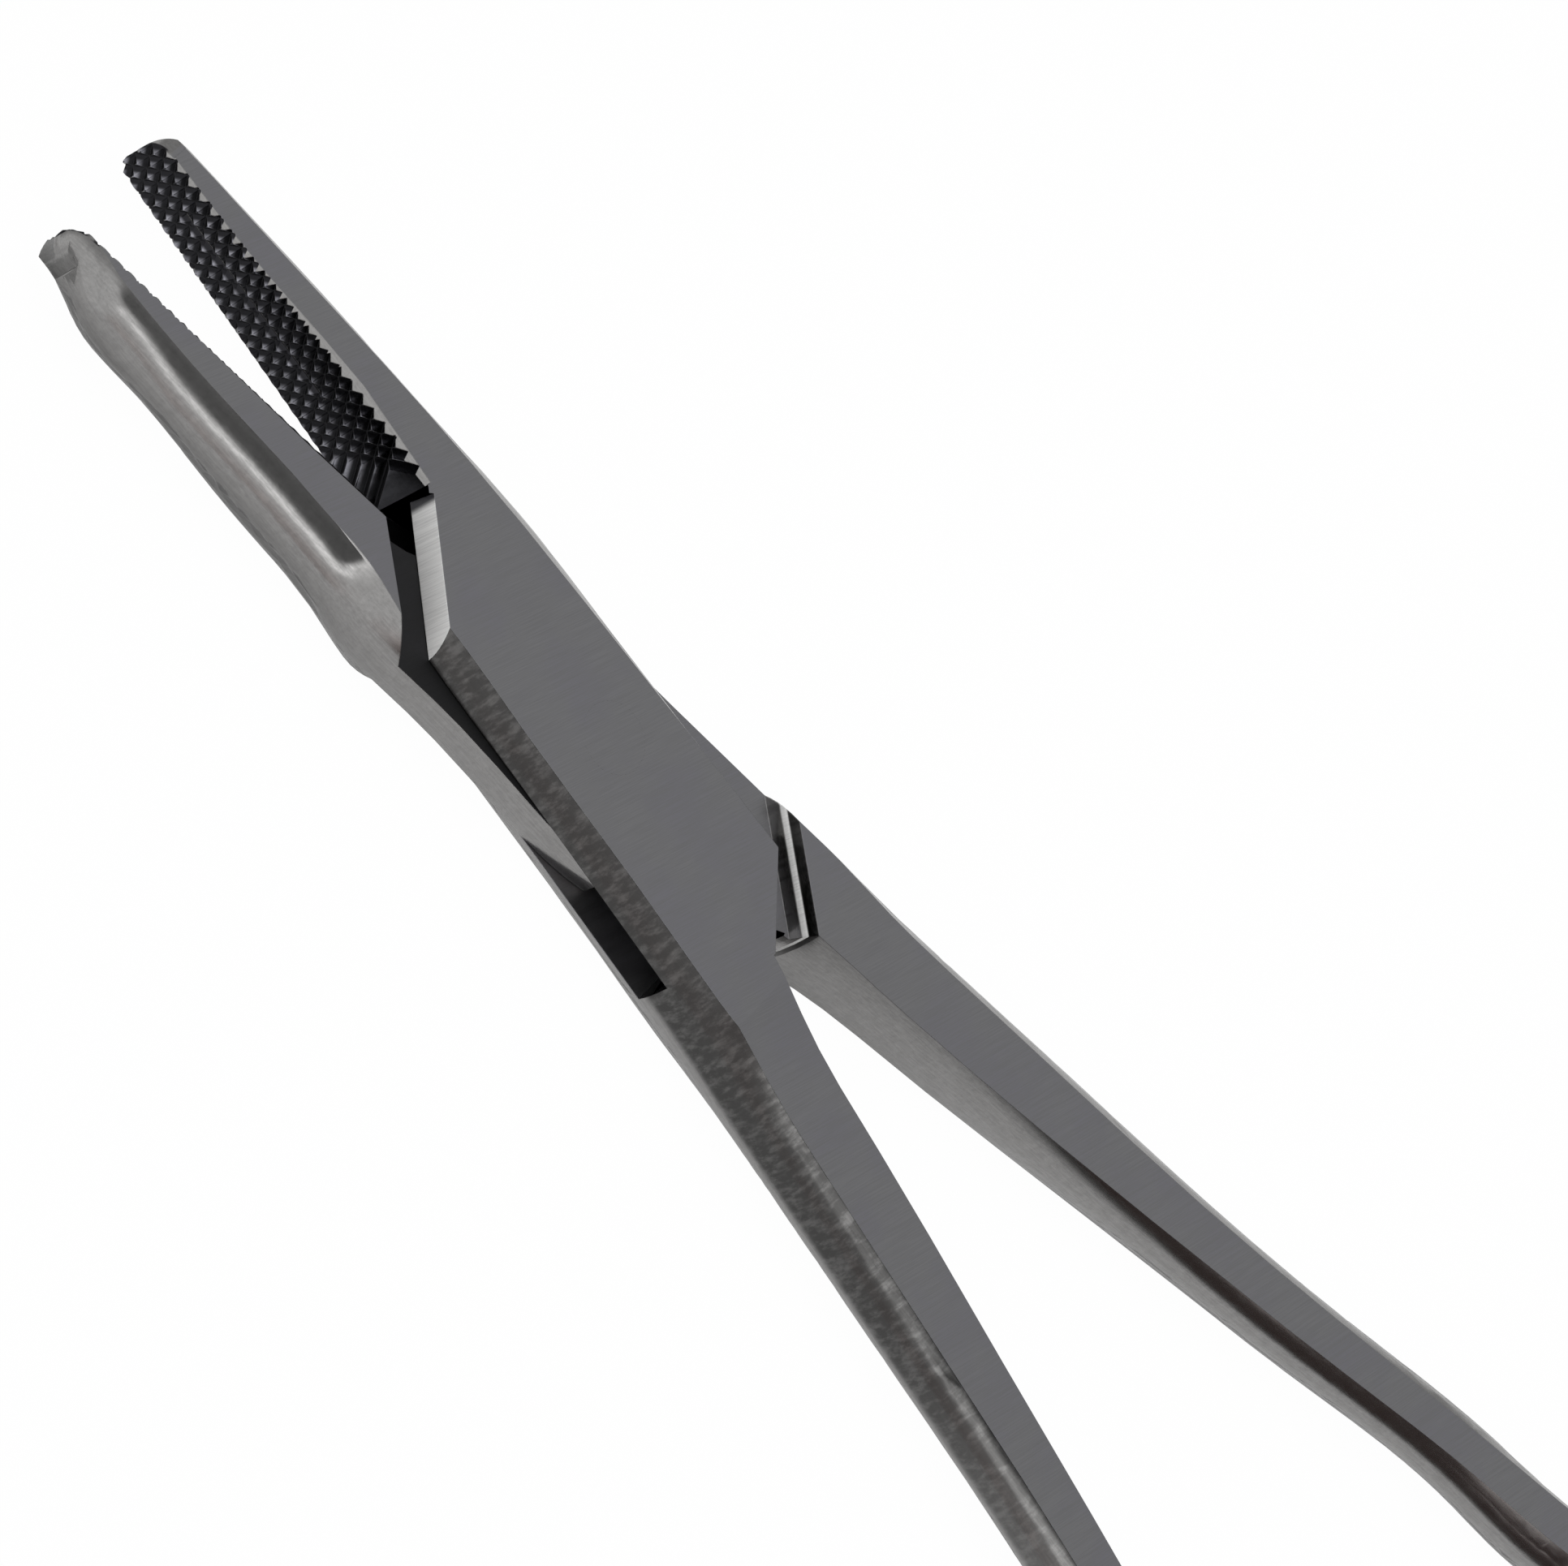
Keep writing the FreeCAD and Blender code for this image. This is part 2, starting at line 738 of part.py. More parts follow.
def finish(name, half, side):
    """Round the tip, break the edges, then cut the teeth of one jaw."""
    brinks = fuse(f"{name}_brinks", brink_top, brink_low)
    if side > 0:
        brinks = mirrored(f"{name}_brinks_left", brinks, (0, 1, 0))
    half = cut(f"{name}_tip", half, ends)
    half = cut(f"{name}_edges", half, brinks)
    for label, tool in grip_tools.items():
        if side > 0:
            tool = mirrored(f"{name}_{label}_left", tool, (0, 1, 0))
        half = cut(f"{name}_{label}", half, tool)
    turn = size("opening") / 2
    half.Placement.Rotation = FreeCAD.Rotation(FreeCAD.Vector(0, 0, side), turn.value)
    bind(half, "Placement.Rotation.Angle", turn)
    return half


pin = cylinder("pin", pin_r, box_t)
pieces = {
    "box_half": finish("box", box_cut, -1),
    "tongue_half": finish("tongue", tongue_cut, 1),
    "pivot_pin": pin,
}
doc.recompute()
for obj in doc.Objects:
    if set(obj.State) & {"Invalid", "Error"}:
        raise SystemExit(f"{obj.Name}: {obj.State}")
os.makedirs("parts", exist_ok=True)
for name, obj in pieces.items():
    obj.Label = name
    shape = obj.Shape
    if shape.isNull() or not shape.isValid():
        raise SystemExit(f"{name} is not a valid shape")
    print(name, len(shape.Solids), "solids", round(shape.Volume, 2), "mm3")
    shape.exportStep(f"parts/{name}.step")
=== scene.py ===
"""Dresses the needle holder: ground flats, polished sides, gripping teeth with painted shade in their
grooves, and a white studio.
"""

import math

import bpy
from bpy.props import FloatProperty, FloatVectorProperty, PointerProperty
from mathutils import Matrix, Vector

bl_info = {
    "name": "Needle holder",
    "version": (1, 0, 0),
    "blender": (4, 5, 0),
    "location": "View3D > Sidebar > Needle holder",
    "description": "Gives the box-lock needle holder its steel finishes and its studio",
    "category": "Object",
}

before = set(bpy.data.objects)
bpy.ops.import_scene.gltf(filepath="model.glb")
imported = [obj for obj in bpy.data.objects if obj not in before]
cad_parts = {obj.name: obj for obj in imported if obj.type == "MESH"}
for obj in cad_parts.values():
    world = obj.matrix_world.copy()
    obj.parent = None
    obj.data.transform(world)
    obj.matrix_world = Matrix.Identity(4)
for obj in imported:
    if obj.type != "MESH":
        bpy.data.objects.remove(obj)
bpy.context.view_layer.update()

MM = 0.001
BLACK = (0.0, 0.0, 0.0, 1.0)

# the photograph's viewpoint, in millimetres and degrees
CAMERA_PLACE = (70.21, 170.12, 224.59)
CAMERA_TURN = (18.182, -37.642, -142.147)

# sizes and directions that the solids have: the angle between the halves, where the teeth
# start, their crests and grooves, the pin, the box's front face and the tongue's shoulder
OPENING = math.radians(10.0)
JAW_START = 13.4 * MM
TOOTH_CREST = 0.08 * MM
TOOTH_FLOOR = 0.36 * MM
PIN_RADIUS = 1.7 * MM
NOTCH_LOOK = math.radians(52.0)
RIDGE = 9.47 * MM
MIDDLE = 2.55 * MM

GRINDING_SLANT = math.radians(20.0)

# place along the arm in millimetres, then its thickness there, or the sine of the angle
# that its side turns through from the middle to the flat
ARM_END, ARM_LENGTH = -100.0, 140.0
THICKNESS = [
    (-100.0, 2.95),
    (-45.0, 2.95),
    (-38.0, 3.1),
    (-29.0, 3.4),
    (-22.0, 3.75),
    (-16.0, 4.35),
    (-12.0, 5.1),
    (16.5, 5.1),
    (21.0, 4.8),
    (25.6, 4.1),
    (30.1, 3.6),
    (40.0, 3.2),
]
OUTER_TURN = [
    (-100.0, 0.85),
    (-40.0, 0.8),
    (-14.0, 0.7),
    (11.0, 0.7),
    (14.0, 0.85),
    (20.0, 0.95),
    (40.0, 0.97),
]
INNER_TURN = [
    (-100.0, 0.8),
    (-45.0, 0.76),
    (-36.0, 0.62),
    (-25.0, 0.3),
    (-18.0, 0.15),
    (-13.0, 0.1),
    (40.0, 0.1),
]

# in front of this place the jaw's flat narrows evenly and its side is one even curve:
# where the flat ends, and how far out the side reaches
EVEN_START, JAW_WIDTH = 13.0, 5.0
JAW_EDGE = [
    (-100.0, 3.3),
    (11.0, 3.3),
    (12.0, 3.2),
    (14.0, 2.72),
    (16.0, 2.47),
    (18.0, 2.3),
    (22.0, 1.92),
    (26.0, 1.42),
    (30.0, 0.8),
    (32.5, 0.25),
    (40.0, 0.0),
]
JAW_OUT = [
    (-100.0, 4.6),
    (11.0, 4.6),
    (12.0, 4.4),
    (14.0, 3.94),
    (16.0, 3.61),
    (18.0, 3.4),
    (22.0, 3.06),
    (26.0, 2.7),
    (29.0, 2.38),
    (31.0, 1.85),
    (32.5, 1.1),
    (40.0, 0.7),
]

# how soon a side turns from upright to level, and how level it is at the jaw's flat
ARM_BULGE, JAW_BULGE, JAW_TOP = 0.75, 1.7, 0.25


class SteelSettings(bpy.types.PropertyGroup):
    flat_colour: FloatVectorProperty(
        name="Flats",
        description="Colour of the ground flats",
        subtype="COLOR",
        default=(0.31, 0.31, 0.32),
    )
    side_colour: FloatVectorProperty(
        name="Sides",
        description="Colour of the polished sides",
        subtype="COLOR",
        default=(0.30, 0.296, 0.292),
    )
    # painted shade: the near-black colour in the grooves of the teeth
    tooth_shade_colour: FloatVectorProperty(
        name="Teeth",
        description="Colour in the grooves of the teeth",
        subtype="COLOR",
        default=(0.025, 0.025, 0.028),
    )
    # painted reflection: the near white of the box's milled front face
    face_reflection_colour: FloatVectorProperty(
        name="Milled face",
        description="Colour of the box's front face",
        subtype="COLOR",
        default=(0.90, 0.90, 0.89),
    )
    flat_roughness: FloatProperty(
        name="Roughness of flats",
        description="Blur of reflections in the flats",
        default=0.42,
        min=0.05,
        max=1.0,
    )
    side_roughness: FloatProperty(
        name="Roughness of sides",
        description="Blur of reflections in the sides",
        default=0.20,
        min=0.05,
        max=1.0,
    )
    line_width: FloatProperty(
        name="Grinding lines",
        description="Width of one grinding line",
        subtype="DISTANCE",
        unit="LENGTH",
        default=0.05 * MM,
    )
    edge_round: FloatProperty(
        name="Edge rounding",
        description="Radius that the light finds on each edge",
        subtype="DISTANCE",
        unit="LENGTH",
        default=0.07 * MM,
    )


class StudioSettings(bpy.types.PropertyGroup):
    floor_colour: FloatVectorProperty(
        name="Floor",
        description="Colour of the floor and backdrop",
        subtype="COLOR",
        default=(1.0, 1.0, 1.0),
    )
    lamp_power: FloatProperty(
        name="Lamp",
        description="Power of the soft lamp overhead",
        subtype="POWER",
        unit="POWER",
        default=3.0,
    )
    lens: FloatProperty(
        name="Lens",
        description="Focal length of the camera in millimetres",
        default=149.07,
        min=10.0,
        max=400.0,
    )


class Wiring:
    """Adds nodes to one tree and joins them."""

    def __init__(self, tree):
        self.tree = tree

    def node(self, kind, sockets=None, **settings):
        made = self.tree.nodes.new(kind)
        for name, value in settings.items():
            setattr(made, name, value)
        for name, value in (sockets or {}).items():
            self.feed(made.inputs[name], value)
        return made

    def feed(self, socket, value):
        if isinstance(value, bpy.types.NodeSocket):
            self.tree.links.new(value, socket)
        else:
            socket.default_value = value

    def math(self, operation, first, second=0.0):
        return self.node("ShaderNodeMath", {0: first, 1: second}, operation=operation).outputs[0]

    def between(self, value, low, high, start=0.0, end=1.0):
        """Runs smoothly from start, where value is low, to end, where it is high."""
        sockets = {"Value": value, "From Min": low, "From Max": high, "To Min": start, "To Max": end}
        return self.node("ShaderNodeMapRange", sockets, interpolation_type="SMOOTHSTEP").outputs["Result"]

    def mix(self, factor, first, second):
        made = self.node("ShaderNodeMix", {"Factor": factor}, data_type="RGBA")
        self.feed(made.inputs[6], first)
        self.feed(made.inputs[7], second)
        return made.outputs[2]

    def blend(self, factor, first, second):
        return self.node("ShaderNodeMix", {"Factor": factor, 2: first, 3: second}).outputs[0]

    def lean_over(self, factor, first, second):
        """The same for two directions."""
        sockets = {"Factor": factor, 4: first, 5: second}
        return self.node("ShaderNodeMix", sockets, data_type="VECTOR").outputs[1]

    def across(self, value):
        """The cosine that belongs to a sine, and the other way round."""
        return self.math("SQRT", self.math("SUBTRACT", 1.0, self.math("MULTIPLY", value, value)))

    def axes(self, vector):
        split = self.node("ShaderNodeSeparateXYZ", {"Vector": vector})
        return [split.outputs[axis] for axis in "XYZ"]

    def to_world(self, direction):
        settings = {"vector_type": "NORMAL", "convert_from": "OBJECT", "convert_to": "WORLD"}
        return self.node("ShaderNodeVectorTransform", {"Vector": direction}, **settings).outputs["Vector"]

    def scaled(self, place, scale, turn=0.0):
        sockets = {"Vector": place, "Rotation": (0.0, 0.0, turn), "Scale": scale}
        return self.node("ShaderNodeMapping", sockets).outputs["Vector"]

    def curve(self, value, points):
        """Follows points of place and height, each between 0 and 1."""
        made = self.node("ShaderNodeFloatCurve", {"Value": value})
        line = made.mapping.curves[0]
        line.points[0].location = points[0]
        line.points[1].location = points[-1]
        for point in points[1:-1]:
            line.points.new(*point)
        made.mapping.update()
        return made.outputs["Value"]

    def vector(self, operation, first, second=None, output="Vector"):
        sockets = {0: first} if second is None else {0: first, 1: second}
        return self.node("ShaderNodeVectorMath", sockets, operation=operation).outputs[output]

    def noise(self, place, scale, detail=3.0, roughness=0.5):
        sockets = {"Vector": place, "Scale": scale, "Detail": detail, "Roughness": roughness}
        return self.node("ShaderNodeTexNoise", sockets).outputs[0]


def rgba(colour, strength=1.0):
    return (*[c * strength for c in colour], 1.0)


def new_material(name):
    material = bpy.data.materials.new(name)
    material.use_nodes = True
    material.node_tree.nodes.clear()
    return material, Wiring(material.node_tree)


def give(node_name, material):
    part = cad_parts[node_name]
    part.data.materials.clear()
    part.data.materials.append(material)


class Surface:
    """Where a point of one half lies and which way it faces, in the arm's own directions."""

    def __init__(self, w, lean, jaw_side):
        self.w, self.lean, self.jaw_side = w, lean, jaw_side
        self.on_tongue = 1.0 if jaw_side > 0.0 else 0.0
        self.on_box = 1.0 - self.on_tongue
        coordinates = w.node("ShaderNodeTexCoord")
        self.whole_place, self.normal = coordinates.outputs["Object"], coordinates.outputs["Normal"]
        self.place = w.scaled(self.whole_place, (1.0, 1.0, 1.0), lean)
        self.x, self.y, self.z = w.axes(self.place)
        self.look = w.scaled(self.normal, (1.0, 1.0, 1.0), lean)
        self.look_x, self.look_y, self.look_z = w.axes(self.look)
        self.upright = w.math("ABSOLUTE", self.look_z)
        self.from_middle = w.math("ABSOLUTE", w.math("SUBTRACT", self.z, MIDDLE))
        self.reach = w.math("MULTIPLY", self.y, jaw_side)
        start = w.math("ADD", w.math("DIVIDE", self.x, MM), -ARM_END)
        self.share = w.math("MULTIPLY", start, 1.0 / ARM_LENGTH)

    def profile(self, points, top=1.0):
        """Follows a table along the arm. top is at least its greatest height."""
        shares = [((x - ARM_END) / ARM_LENGTH, height / top) for x, height in points]
        return self.w.curve(self.share, shares)

    def length(self, points, top):
        """The same for a table in millimetres."""
        return self.w.math("MULTIPLY", self.profile(points, top), top * MM)


class Grain:
    """The fine patterns in the steel."""

    def __init__(self, s, line_width):
        w, fine = s.w, 1.0 / line_width
        slanted = w.scaled(s.whole_place, (1.0, 1.0, 1.0), GRINDING_SLANT)
        self.lines = w.noise(w.scaled(slanted, (fine, fine * 0.02, fine * 0.02)), 1.0, 2.0, 0.6)
        self.broad = w.noise(w.scaled(slanted, (fine * 0.15, fine * 0.015, fine * 0.02)), 1.0, 3.0, 0.6)
        self.mottle = w.noise(w.scaled(s.place, (2600.0, 900.0, 1100.0)), 1.0, 4.0, 0.65)
        self.cloud = w.noise(s.place, 240.0, 3.0, 0.55)
        self.polish = w.noise(w.scaled(s.place, (fine * 0.04, fine * 0.5, fine * 0.5)), 1.0, 3.0, 0.6)
        self.speck = w.noise(s.place, 5200.0, 2.0, 0.6)


def arm_rise(s, height):
    """Upward share of the normal on an arm's side, from the height alone."""
    w = s.w
    inner = w.between(w.math("MULTIPLY", s.y, s.look_y), -0.4 * MM, 0.0, 1.0, 0.0)
    inner = w.math("MULTIPLY", inner, w.between(s.x, -12.0 * MM, -13.0 * MM))
    turn = w.blend(inner, s.profile(OUTER_TURN), s.profile(INNER_TURN))
    share = w.math("POWER", w.math("MINIMUM", w.math("ABSOLUTE", height), 1.0), ARM_BULGE)
    return w.math("MULTIPLY", w.math("MULTIPLY", share, w.math("SIGN", height)), turn)


def jaw_rise(s, height, edge, beyond):
    """Upward share of the normal on the even part of the jaw, from the distance to the flat."""
    w = s.w
    out = s.length(JAW_OUT, JAW_WIDTH)
    place = w.math("DIVIDE", beyond, w.math("SUBTRACT", out, edge))
    place = w.math("MAXIMUM", w.math("MINIMUM", place, 1.0), 0.0)
    level = w.math("MULTIPLY", w.math("POWER", place, JAW_BULGE), 1.0 - JAW_TOP)
    rise = w.across(w.math("ADD", JAW_TOP, level))
    return w.math("MULTIPLY", rise, w.between(height, -0.3, 0.3, -1.0, 1.0))


def side_normal(s):
    """Even roundness of the sides, and where on the jaw it takes the place of the flat."""
    w, lean = s.w, s.lean
    half = w.math("MULTIPLY", s.length(THICKNESS, 8.0), 0.5)
    height = w.math("DIVIDE", w.math("SUBTRACT", s.z, MIDDLE), half)
    edge = s.length(JAW_EDGE, JAW_WIDTH)
    beyond = w.math("SUBTRACT", s.reach, edge)
    even = w.between(s.x, EVEN_START * MM, (EVEN_START + 2.0) * MM, 0.0, s.on_tongue)
    rise = w.blend(even, arm_rise(s, height), jaw_rise(s, height, edge, beyond))
    curved = w.math("MULTIPLY", even, w.between(beyond, -0.02 * MM, 0.05 * MM))

    # straight out from the jaw, and forwards round its tip
    ahead = w.between(s.x, 29.0 * MM, 33.0 * MM, 0.12, 2.5)
    sockets = {
        "X": w.math("ADD", math.sin(lean) * s.jaw_side, w.math("MULTIPLY", ahead, math.cos(lean))),
        "Y": w.math("SUBTRACT", math.cos(lean) * s.jaw_side, w.math("MULTIPLY", ahead, math.sin(lean))),
    }
    straight = w.node("ShaderNodeCombineXYZ", sockets).outputs["Vector"]
    plan = w.vector("MULTIPLY", s.normal, (1.0, 1.0, 0.0))
    outward = w.lean_over(even, w.vector("NORMALIZE", plan), w.vector("NORMALIZE", straight))
    level = w.across(rise)
    slope = w.node("ShaderNodeCombineXYZ", {"X": level, "Y": level, "Z": rise}).outputs["Vector"]
    upturned = w.vector("ADD", w.vector("NORMALIZE", outward), (0.0, 0.0, 1.0))
    return w.to_world(w.vector("MULTIPLY", upturned, slope)), curved


def flat_tone(s, grain, settings):
    w, grey = s.w, settings.flat_colour
    bluish = (grey[0] * 0.95, grey[1] * 0.94, grey[2])
    tone = w.mix(w.between(grain.cloud, 0.38, 0.62), rgba(grey), rgba(bluish))
    return w.mix(w.between(grain.lines, 0.25, 0.75), tone, rgba(grey, 0.88))


def side_tone(s, grain, settings):
    w, side = s.w, settings.side_colour
    tone = w.mix(w.between(grain.polish, 0.3, 0.7), rgba(side), rgba(side, 0.84))
    tone = w.mix(w.between(grain.speck, 0.45, 0.8, 0.0, 0.5), tone, rgba(side, 0.7))
    tone = w.mix(w.between(grain.mottle, 0.42, 0.68, 0.0, 0.12), tone, rgba(side, 1.5))

    # a darker strip runs along the box half's outer side, beside the upper flat
    strip = w.math("MULTIPLY", w.between(s.z, 1.9 * MM, 2.5 * MM), s.on_box)
    strip = w.math("MULTIPLY", strip, w.between(s.y, 0.0, 1.0 * MM))
    strip = w.math("MULTIPLY", strip, w.between(s.x, -60.0 * MM, -25.0 * MM, 0.3, 1.0))
    darker_strip_tone = w.mix(w.between(grain.mottle, 0.42, 0.7), rgba(side, 0.22), rgba(side, 0.42))
    tone = w.mix(strip, tone, darker_strip_tone)

    # painted shade: the jaws' sides are darkened towards the underside
    ahead = w.between(s.x, 6.0 * MM, 18.0 * MM)
    painted_under_shade = w.math("MULTIPLY", w.between(s.z, 3.4 * MM, 1.0 * MM, 0.0, 0.6), ahead)
    return w.mix(painted_under_shade, tone, BLACK)


def front_face(s):
    """Where the box half's face looks forwards, across the opening of the lock."""
    w = s.w
    ahead = w.vector("DOT_PRODUCT", s.look, (math.cos(NOTCH_LOOK), math.sin(NOTCH_LOOK), 0.0), "Value")
    return w.math("MULTIPLY", w.between(ahead, 0.955, 0.975), s.on_box)


def shoulder(s, grain, side):
    """The tongue's shoulder behind the box: where it is, the painted highlight along its ridge, and the
    painted shade of its two facets, one darker than the other.
    """
    w = s.w
    back = w.math("MULTIPLY", w.math("ADD", s.x, s.y), math.sqrt(0.5))
    ridge = w.math("ABSOLUTE", w.math("ADD", back, RIDGE))
    facet = w.math("MULTIPLY", w.between(ridge, 0.27 * MM, 0.3 * MM, 1.0, 0.0), s.on_tongue)
    facet = w.math("MULTIPLY", facet, w.between(s.upright, 0.9, 0.8))
    # painted highlight along the ridge between the facets
    painted_ridge_highlight = w.math("MULTIPLY", facet, w.between(ridge, 0.035 * MM, 0.075 * MM, 1.0, 0.0))
    # painted shade: one facet is darker than the other
    lower = w.between(back, -RIDGE - 0.02 * MM, -RIDGE + 0.02 * MM, 0.22, 1.0)
    shade = w.math("MULTIPLY", lower, w.between(grain.broad, 0.35, 0.65, 0.7, 1.3))
    return facet, painted_ridge_highlight, w.mix(shade, BLACK, rgba(side, 1.3))


def gripping_face(s):
    """Where the teeth are, and the bevel beside them."""
    w = s.w
    along = w.math("ABSOLUTE", s.look_x)
    bevel = w.math("MULTIPLY", w.between(s.upright, 0.55, 0.65), w.between(along, 0.08, 0.2, 1.0, 0.0))
    bevel = w.math("MULTIPLY", bevel, w.between(s.from_middle, 1.1 * MM, 1.2 * MM))
    forward = w.between(s.x, JAW_START - 0.3 * MM, JAW_START)
    near = w.between(s.reach, TOOTH_FLOOR + 0.06 * MM, TOOTH_FLOOR)
    steep = w.between(s.upright, 0.9, 0.97, 1.0, 0.0)
    grip = w.math("MULTIPLY", w.math("MULTIPLY", forward, near), steep)
    return w.math("MULTIPLY", grip, w.math("SUBTRACT", 1.0, bevel)), bevel


def tooth_shade_tone(s, grain, settings):
    """Painted shade: black in the grooves and grey on the crests, darker at the grip's root."""
    w, dark = s.w, settings.tooth_shade_colour
    crest = w.between(s.reach, TOOTH_CREST + 0.16 * MM, TOOTH_CREST)
    crest = w.math("MULTIPLY", crest, w.between(s.x, 14.8 * MM, 16.2 * MM, 0.08, 1.0))
    crest = w.math("MULTIPLY", crest, w.between(grain.mottle, 0.35, 0.6, 0.45, 1.0))
    return w.mix(crest, rgba(dark), rgba(dark, 16.0))


def shading_normal(s, flat, toothed, settings):
    """Broken edges, even sides and level flats."""
    w = s.w
    round_side, curved = side_normal(s)
    flat = w.math("MULTIPLY", flat, w.math("SUBTRACT", 1.0, curved))

    # every edge is broken a little, except the pin's, which was ground away with the box
    rounded = w.node("ShaderNodeBevel", {"Radius": settings.edge_round}, samples=4).outputs["Normal"]
    plain = w.node("ShaderNodeNewGeometry").outputs["Normal"]
    radius = w.vector("LENGTH", w.vector("MULTIPLY", s.place, (1.0, 1.0, 0.0)), output="Value")
    pinned = w.between(radius, PIN_RADIUS + 0.15 * MM, PIN_RADIUS + 0.25 * MM, 1.0, 0.0)
    normal = w.lean_over(pinned, rounded, plain)

    # the sides' roundness comes from one smooth profile, up to where the shanks run straight
    plan = w.vector("NORMALIZE", w.vector("MULTIPLY", s.look, (1.0, 1.0, 0.0)))
    sideways = w.math("ABSOLUTE", w.axes(plan)[1])
    smooth = w.between(s.upright, 0.965, 0.975, 1.0, 0.0)
    smooth = w.math("MULTIPLY", w.between(sideways, 0.82, 0.9), smooth)
    smooth = w.math("MULTIPLY", smooth, w.between(s.x, -76.0 * MM, -70.0 * MM))
    smooth = w.math("MULTIPLY", smooth, w.math("SUBTRACT", 1.0, toothed))
    edge_free = w.between(w.vector("DOT_PRODUCT", rounded, plain, "Value"), 0.93, 0.985)
    smooth = w.math("MAXIMUM", w.math("MULTIPLY", smooth, edge_free), curved)
    normal = w.lean_over(smooth, normal, round_side)
    upward = w.node("ShaderNodeCombineXYZ", {"Z": w.math("SIGN", s.look_z)}).outputs["Vector"]
    level = w.math("MULTIPLY", w.math("MULTIPLY", flat, edge_free), 0.75)
    return w.lean_over(level, normal, w.to_world(upward)), flat


def steel(name, lean, jaw_side, settings):
    """Ground and polished steel of one half. lean turns the frame into the arm's own directions."""
    material, w = new_material(name)
    s = Surface(w, lean, jaw_side)
    grain = Grain(s, settings.line_width)
    grip, bevel = gripping_face(s)
    flat = w.between(s.upright, 0.965, 0.995)
    normal, flat = shading_normal(s, flat, w.math("MAXIMUM", grip, bevel), settings)
    tone = w.mix(flat, side_tone(s, grain, settings), flat_tone(s, grain, settings))

    # painted shade: the lock's inner flats are darkened in front of the pin
    painted_slot_shade = w.math("MULTIPLY", flat, w.between(s.from_middle, 1.3 * MM, 1.4 * MM, 1.0, 0.0))
    painted_slot_shade = w.math("MULTIPLY", painted_slot_shade, w.between(s.x, -1.0 * MM, 1.0 * MM, 0.0, 0.9))
    tone = w.mix(painted_slot_shade, tone, rgba(settings.flat_colour, 0.05))

    # the box's milled front face, whose near white is a painted reflection, and the tongue's shoulder
    # behind it with its painted highlight and painted shade
    painted_face_reflection = front_face(s)
    face_reflection_colour = settings.face_reflection_colour
    painted_white_tone = w.mix(w.between(grain.lines, 0.3, 0.75), rgba(face_reflection_colour), rgba(face_reflection_colour, 0.8))
    tone = w.mix(painted_face_reflection, tone, painted_white_tone)
    facet, painted_ridge_highlight, facet_painted_shade = shoulder(s, grain, settings.side_colour)
    tone = w.mix(painted_ridge_highlight, w.mix(facet, tone, facet_painted_shade), painted_white_tone)
    # the painted white shows as a rough, non-metallic surface
    painted_white_share = w.math("MULTIPLY", w.math("MAXIMUM", painted_face_reflection, painted_ridge_highlight), 0.85)
    tone = w.mix(grip, tone, tooth_shade_tone(s, grain, settings))

    flat_rough = w.math("ADD", w.between(grain.broad, 0.2, 0.8, -0.03, 0.03), settings.flat_roughness)
    side_rough = w.math("ADD", w.between(grain.polish, 0.2, 0.8, -0.04, 0.06), settings.side_roughness)
    rough = w.math("MAXIMUM", w.blend(flat, side_rough, flat_rough), w.math("MULTIPLY", painted_white_share, 0.6))

    height = w.math("MULTIPLY", w.math("ADD", grain.lines, w.math("MULTIPLY", grain.broad, 0.3)), flat)
    height = w.math("ADD", height, w.math("MULTIPLY", grain.polish, 0.4))
    sockets = {"Height": height, "Strength": 0.12, "Distance": 0.015 * MM, "Normal": normal}
    bump = w.node("ShaderNodeBump", sockets)
    sockets = {"Base Color": tone, "Roughness": rough, "Normal": bump.outputs["Normal"]}
    sockets["Metallic"] = w.math("SUBTRACT", 1.0, painted_white_share)
    shader = w.node("ShaderNodeBsdfPrincipled", sockets)
    w.node("ShaderNodeOutputMaterial", {"Surface": shader.outputs["BSDF"]})
    return material


class NEEDLE_OT_box_half(bpy.types.Operator):
    """Gives the box half its steel"""

    bl_idname = "needle.box_half"
    bl_label = "Finish box half"

    def execute(self, context):
        settings = context.scene.needle_steel
        give("box_half", steel("box_half_steel", OPENING / 2, -1.0, settings))
        return {"FINISHED"}


class NEEDLE_OT_tongue_half(bpy.types.Operator):
    """Gives the tongue half its steel"""

    bl_idname = "needle.tongue_half"
    bl_label = "Finish tongue half"

    def execute(self, context):
        settings = context.scene.needle_steel
        give("tongue_half", steel("tongue_half_steel", -OPENING / 2, 1.0, settings))
        return {"FINISHED"}


class NEEDLE_OT_pivot_pin(bpy.types.Operator):
    """Gives the riveted pin the same ground face as the box around it"""

    bl_idname = "needle.pivot_pin"
    bl_label = "Finish pivot pin"

    def execute(self, context):
        settings = context.scene.needle_steel
        give("pivot_pin", steel("pivot_pin_steel", OPENING / 2, -1.0, settings))
        return {"FINISHED"}


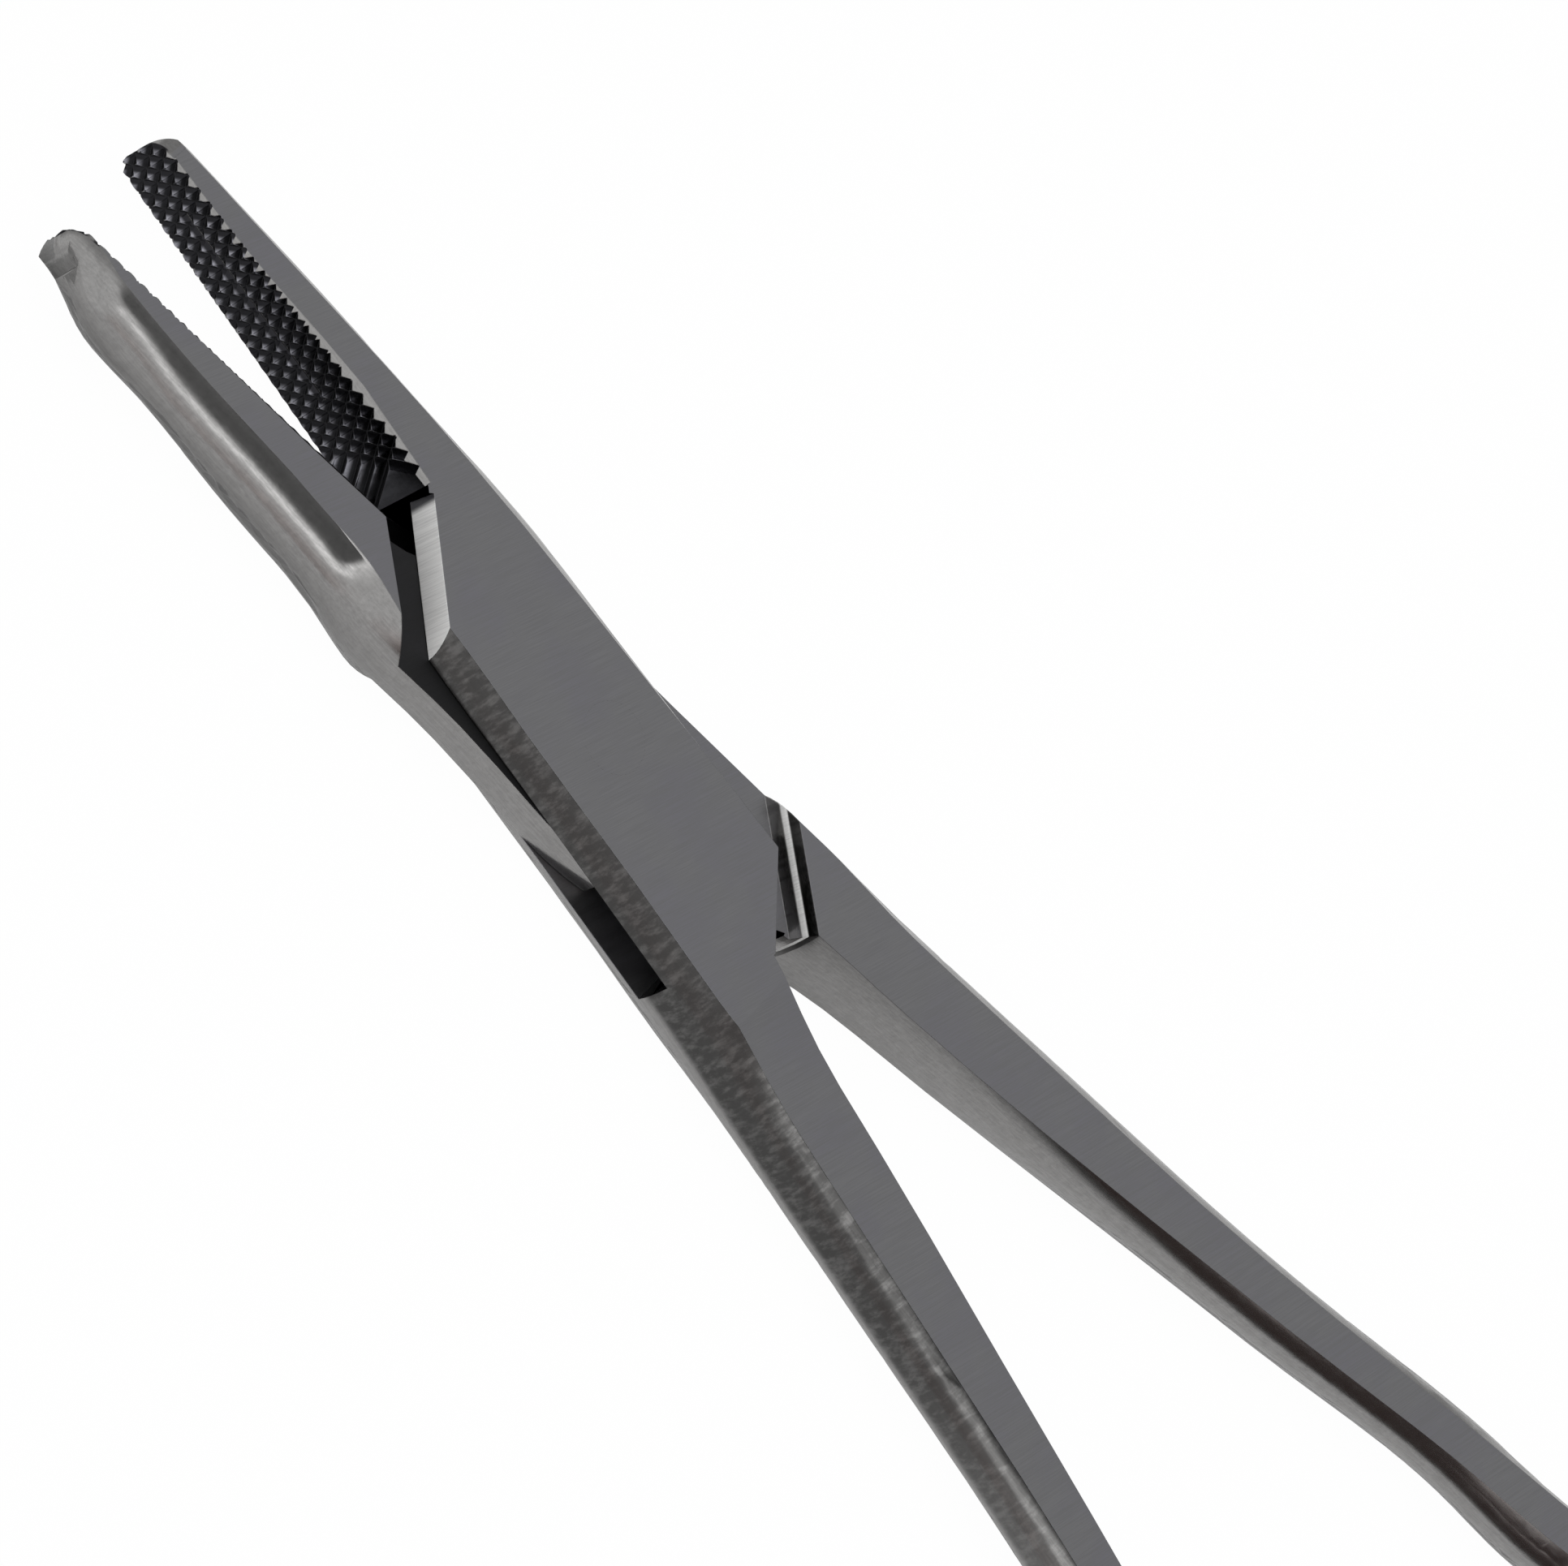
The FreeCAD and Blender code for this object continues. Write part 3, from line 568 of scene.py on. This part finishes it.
def studio_world(settings):
    """Plain room for the steel to mirror, and white behind the object."""
    world = bpy.data.worlds.new("studio")
    world.use_nodes = True
    world.node_tree.nodes.clear()
    w = Wiring(world.node_tree)
    ray = w.node("ShaderNodeTexCoord").outputs["Generated"]
    path = w.node("ShaderNodeLightPath")

    def towards(direction):
        return w.vector("DOT_PRODUCT", ray, Vector(direction).normalized(), "Value")

    up = towards((0.0, 0.0, 1.0))
    ceiling = w.between(up, 0.90, 0.985, 0.0, 0.1)
    window = w.between(towards((-0.27, 0.63, 0.73)), 0.970, 0.996, 0.0, 1.5)
    # the room is half as bright on the side that the flats mirror
    far_side = w.between(towards((-0.4, -0.92, 0.0)), -0.2, 0.3)
    room = w.between(far_side, 0.0, 1.0, 1.0, 0.5)
    # a dim gap above the window, and a dark, reddish corner low down beside it
    gap = w.between(towards((-0.36, 0.12, 0.92)), 0.90, 0.95, 1.0, 0.08)
    low = w.between(up, 0.56, 0.70, 1.0, 0.0)
    dark = w.math("MULTIPLY", low, w.between(towards((-0.766, 0.643, 0.0)), 0.62, 0.90))
    light = w.math("MULTIPLY", w.math("MULTIPLY", room, gap), w.between(dark, 0.0, 1.0, 1.0, 0.07))
    light = w.math("ADD", light, w.math("ADD", ceiling, window))
    tint = w.mix(dark, (1.0, 1.0, 1.0, 1.0), (1.0, 0.74, 0.69, 1.0))
    seen = path.outputs["Is Camera Ray"]
    strength = w.blend(seen, light, 1.0)
    tint = w.mix(seen, tint, rgba(settings.floor_colour))
    shade = w.node("ShaderNodeBackground", {"Color": tint, "Strength": strength})
    w.node("ShaderNodeOutputWorld", {"Surface": shade.outputs["Background"]})
    return world


def floor_finish(settings):
    """White paper that keeps a light shadow."""
    material, w = new_material("paper")
    path = w.node("ShaderNodeLightPath")
    paper = w.node("ShaderNodeBsdfDiffuse", {"Color": rgba(settings.floor_colour, 0.8)})
    glow = w.node("ShaderNodeEmission", {"Color": rgba(settings.floor_colour), "Strength": 1.0})
    camera_share = w.math("MULTIPLY", path.outputs["Is Camera Ray"], 0.98)
    other_share = w.math("MULTIPLY", path.outputs["Is Glossy Ray"], 0.3)
    share = w.math("ADD", camera_share, other_share)
    sockets = {0: share, 1: paper.outputs["BSDF"], 2: glow.outputs["Emission"]}
    both = w.node("ShaderNodeMixShader", sockets)
    w.node("ShaderNodeOutputMaterial", {"Surface": both.outputs["Shader"]})
    return material


class NEEDLE_OT_studio(bpy.types.Operator):
    """Adds the floor, the lamp, the world and the camera"""

    bl_idname = "needle.studio"
    bl_label = "Build studio"

    def execute(self, context):
        settings = context.scene.needle_studio
        bpy.ops.object.select_all(action="DESELECT")
        bpy.ops.mesh.primitive_plane_add(size=6.0, location=(0.0, 0.0, -0.05 * MM))
        floor = context.active_object
        floor.name = "floor"
        floor.data.materials.append(floor_finish(settings))

        bpy.ops.object.light_add(type="AREA", location=(-0.1, 0.05, 0.9))
        lamp = context.active_object
        lamp.name = "soft_lamp"
        lamp.data.size = 0.7
        lamp.data.energy = settings.lamp_power
        lamp.visible_glossy = False

        context.scene.world = studio_world(settings)
        context.scene.view_settings.view_transform = "Standard"

        place = Vector(CAMERA_PLACE) * MM
        turn = [math.radians(a) for a in CAMERA_TURN]
        bpy.ops.object.camera_add(location=place, rotation=turn)
        camera = context.active_object
        camera.name = "camera"
        camera.data.lens = settings.lens
        camera.data.sensor_width = 36.0
        camera.data.clip_start = 0.01
        camera.data.clip_end = 20.0
        context.scene.camera = camera
        return {"FINISHED"}


class NEEDLE_PT_panel(bpy.types.Panel):
    """Lists the pieces and the studio"""

    bl_idname = "NEEDLE_PT_panel"
    bl_label = "Needle holder"
    bl_space_type = "VIEW_3D"
    bl_region_type = "UI"
    bl_category = "Needle holder"

    def draw(self, context):
        for group in (context.scene.needle_steel, context.scene.needle_studio):
            for name in group.bl_rna.properties.keys():
                if name not in ("rna_type", "name"):
                    self.layout.prop(group, name)
        for piece in PIECES:
            self.layout.operator(piece.bl_idname)


PIECES = (NEEDLE_OT_box_half, NEEDLE_OT_tongue_half, NEEDLE_OT_pivot_pin, NEEDLE_OT_studio)
CLASSES = (SteelSettings, StudioSettings, *PIECES, NEEDLE_PT_panel)


def register():
    for cls in CLASSES:
        bpy.utils.register_class(cls)
    bpy.types.Scene.needle_steel = PointerProperty(type=SteelSettings)
    bpy.types.Scene.needle_studio = PointerProperty(type=StudioSettings)


def unregister():
    del bpy.types.Scene.needle_studio
    del bpy.types.Scene.needle_steel
    for cls in reversed(CLASSES):
        bpy.utils.unregister_class(cls)


def main():
    register()
    bpy.ops.needle.box_half()
    bpy.ops.needle.tongue_half()
    bpy.ops.needle.pivot_pin()
    bpy.ops.needle.studio()


if __name__ == "__main__":
    main()
